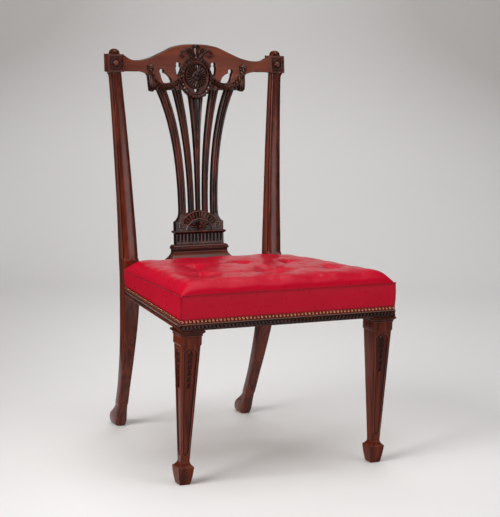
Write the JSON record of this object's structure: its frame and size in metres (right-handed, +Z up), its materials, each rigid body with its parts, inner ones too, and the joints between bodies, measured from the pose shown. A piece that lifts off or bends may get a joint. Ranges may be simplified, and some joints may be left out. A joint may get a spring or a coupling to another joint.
{
  "type": "lyre back chair",
  "caption": "Neo-classical side chair with a serpentine crest rail, a pierced splat of spreading ribs, tapered front legs on spade feet and a stuffed leather seat.",
  "frame": {"origin": "on the floor, under the middle of the chair's outer box", "axes": "+X to the right of someone who faces the front of the chair, +Y towards the back, +Z up"},
  "size_m": [0.5516, 0.6016, 0.9574],
  "materials": {
    "mahogany": "polished",
    "beech": "bare",
    "leather": "soft sheen",
    "brass": "aged",
    "jute": "woven",
    "horsehair": "loose fill"
  },
  "bodies": {
    "root": {"left_stile": "mahogany", "right_stile": "mahogany", "left_front_leg": "mahogany", "right_front_leg": "mahogany", "crest_rail": "mahogany", "splat": "mahogany", "splat_shoe": "mahogany", "front_moulding": "mahogany", "left_side_moulding": "mahogany", "right_side_moulding": "mahogany", "rear_rail": "mahogany", "front_rail": "beech", "left_side_rail": "beech", "right_side_rail": "beech", "left_front_corner_block": "beech", "right_front_corner_block": "beech", "left_rear_corner_block": "beech", "right_rear_corner_block": "beech", "webbing_lengthwise_1": "jute", "webbing_lengthwise_2": "jute", "webbing_lengthwise_3": "jute", "webbing_lengthwise_4": "jute", "webbing_crosswise_1": "jute", "webbing_crosswise_2": "jute", "webbing_crosswise_3": "jute", "hessian": "jute", "stuffing": "horsehair", "leather_cover": "leather", "seam_welt": "leather", "front_nails": "brass", "left_side_nails": "brass", "right_side_nails": "brass"}
  },
  "joints": []
}
